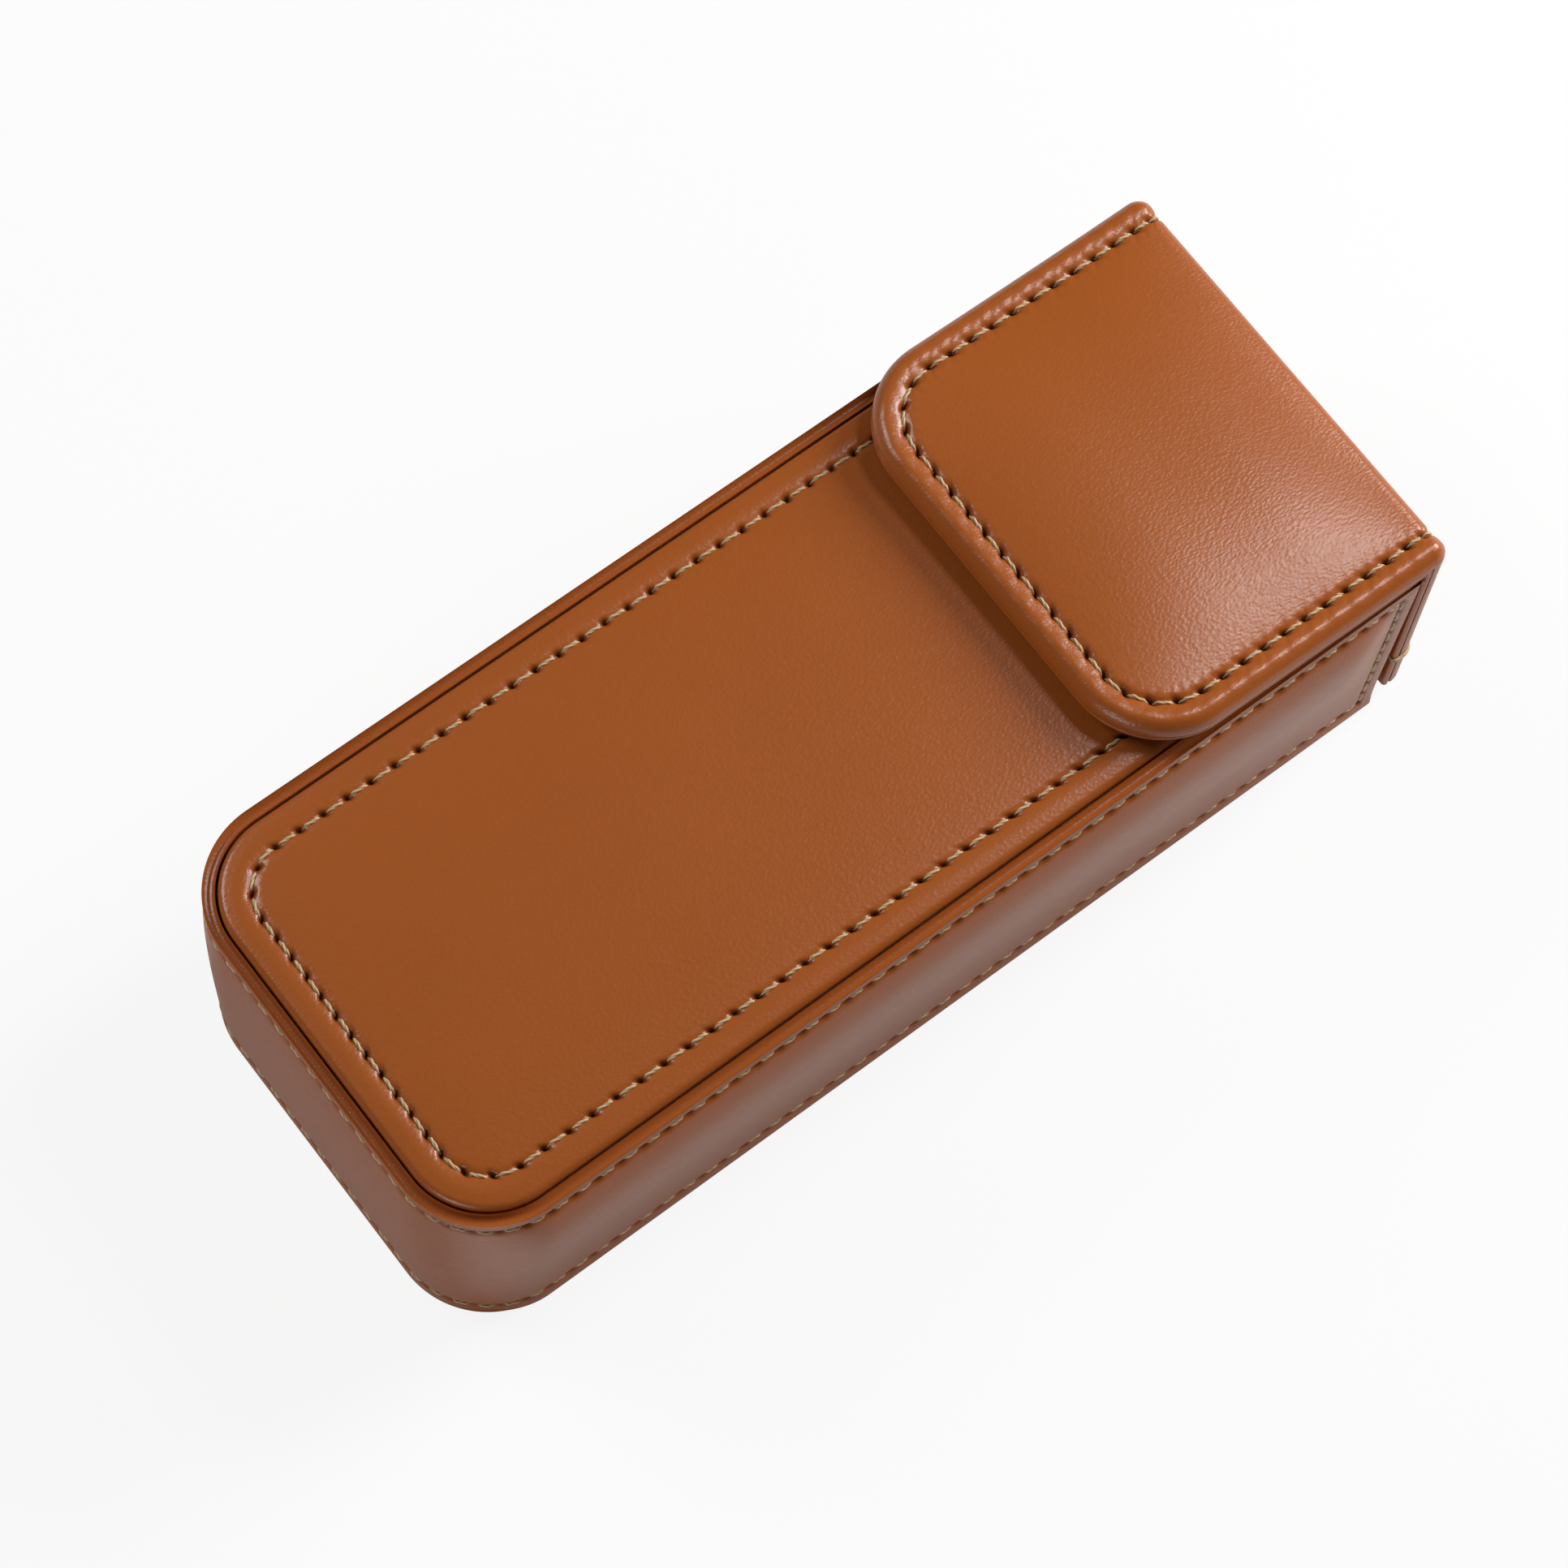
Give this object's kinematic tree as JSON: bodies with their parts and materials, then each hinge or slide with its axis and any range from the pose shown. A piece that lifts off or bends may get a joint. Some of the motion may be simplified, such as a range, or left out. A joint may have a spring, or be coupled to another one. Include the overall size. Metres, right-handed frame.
{
  "type": "eyeglasses case",
  "caption": "Stiff leather-covered eyeglasses case, open at one end, with a padded strap that stands across the mouth and folds over the front as a flap.",
  "frame": {"origin": "middle of the closed case's back face, on which it rests", "axes": "+X from the rounded closed end towards the mouth, +Y across the width, +Z from the back up to the front panel"},
  "size_m": [0.1655, 0.068, 0.0487],
  "materials": {
    "leather": "smooth, semi-matt tan",
    "lining": "brushed microfibre, brown",
    "board": "dense grey board",
    "foam": "thin soft padding sheet",
    "thread": "waxed beige sewing thread",
    "steel": "plated"
  },
  "bodies": {
    "case": {"side_band_leather": "leather", "front_panel_leather": "leather", "back_panel_leather": "leather", "side_lining": "lining", "front_panel_lining": "lining", "back_panel_lining": "lining", "side_board": "board", "front_panel_board": "board", "back_panel_board": "board", "front_panel_padding": "foam", "back_panel_padding": "foam", "side_top_stitching": "thread", "side_bottom_stitching": "thread", "side_mouth_stitching": "thread", "front_panel_stitching": "thread", "back_panel_stitching": "thread", "front_magnet": "steel"},
    "spine": {"spine_leather": "leather", "spine_lining": "lining", "spine_board": "board", "spine_padding": "foam", "spine_stitching": "thread", "spine_edge_tacks": "thread"},
    "flap": {"flap_leather": "leather", "flap_lining": "lining", "flap_board": "board", "flap_padding": "foam", "flap_stitching": "thread", "flap_magnet": "steel"}
  },
  "joints": [
    {"name": "spine_fold", "type": "hinge", "parent": "case", "child": "spine", "pos_m": [0.08196, 0, 0.00054], "axis": [0, 1, 0], "range_deg": [0, 90]},
    {"name": "flap_fold", "type": "hinge", "parent": "spine", "child": "flap", "pos_m": [0.08196, 0, 0.04806], "axis": [0, 1, 0], "range_deg": [0, 90]}
  ]
}
